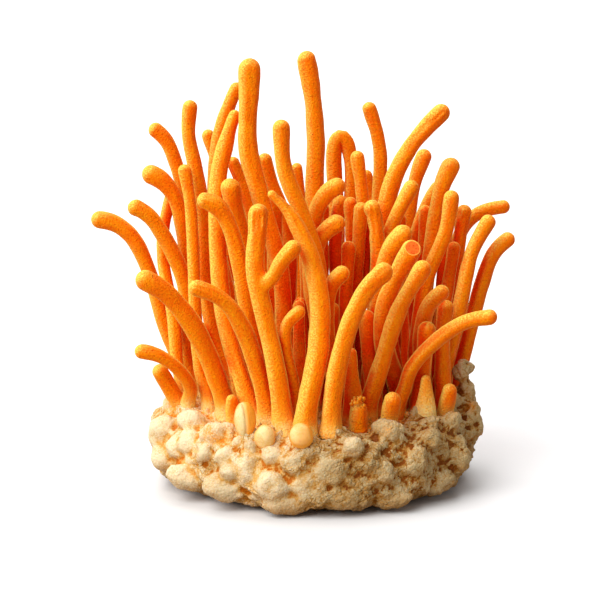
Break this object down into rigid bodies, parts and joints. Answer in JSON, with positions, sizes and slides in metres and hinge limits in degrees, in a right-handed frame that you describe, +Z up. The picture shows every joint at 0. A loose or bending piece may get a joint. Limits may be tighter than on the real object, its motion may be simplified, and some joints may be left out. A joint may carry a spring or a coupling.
{
  "type": "cordyceps militaris fungus",
  "caption": "Dense cluster of orange, finger-like fungus stalks with rounded tips, standing on a round lumpy cake of overgrown grain.",
  "frame": {"origin": "middle of the grain cake's flat underside, on the surface it stands on", "axes": "+Z up along the stalks, -Y towards the side that the picture shows, +X to that side's right"},
  "size_m": [0.097, 0.0774, 0.0985],
  "materials": {
    "stalk_flesh": "satin",
    "grain_crust": "matte"
  },
  "bodies": {
    "root": {"grain_cake": "grain_crust", "stalk_01": "stalk_flesh", "stalk_02": "stalk_flesh", "stalk_03": "stalk_flesh", "stalk_04": "stalk_flesh", "stalk_05": "stalk_flesh", "stalk_06": "stalk_flesh", "stalk_07": "stalk_flesh", "stalk_08": "stalk_flesh", "stalk_09": "stalk_flesh", "stalk_10": "stalk_flesh", "stalk_11": "stalk_flesh", "stalk_12": "stalk_flesh", "stalk_13": "stalk_flesh", "stalk_14": "stalk_flesh", "stalk_15": "stalk_flesh", "stalk_16": "stalk_flesh", "stalk_17": "stalk_flesh", "stalk_18": "stalk_flesh", "stalk_19": "stalk_flesh", "stalk_20": "stalk_flesh", "stalk_21": "stalk_flesh", "stalk_22": "stalk_flesh", "stalk_23": "stalk_flesh", "stalk_24": "stalk_flesh", "stalk_25": "stalk_flesh", "stalk_26": "stalk_flesh", "stalk_27": "stalk_flesh", "stalk_28": "stalk_flesh", "stalk_29": "stalk_flesh", "stalk_30": "stalk_flesh", "stalk_31": "stalk_flesh", "stalk_32": "stalk_flesh", "stalk_33": "stalk_flesh", "stalk_34": "stalk_flesh", "stalk_35": "stalk_flesh", "stalk_36": "stalk_flesh", "stalk_37": "stalk_flesh", "stalk_38": "stalk_flesh", "stalk_39": "stalk_flesh", "stalk_40": "stalk_flesh", "stalk_41": "stalk_flesh", "stalk_42": "stalk_flesh", "stalk_43": "stalk_flesh", "stalk_44": "stalk_flesh", "stalk_45": "stalk_flesh", "stalk_46": "stalk_flesh", "stalk_47": "stalk_flesh", "stalk_48": "stalk_flesh", "stalk_49": "stalk_flesh", "stalk_50": "stalk_flesh", "stalk_51": "stalk_flesh", "stalk_52": "stalk_flesh", "stalk_53": "stalk_flesh", "stalk_54": "stalk_flesh", "stalk_55": "stalk_flesh", "stalk_56": "stalk_flesh", "stalk_57": "stalk_flesh", "stalk_58": "stalk_flesh", "stalk_17_fork": "stalk_flesh"}
  },
  "joints": []
}
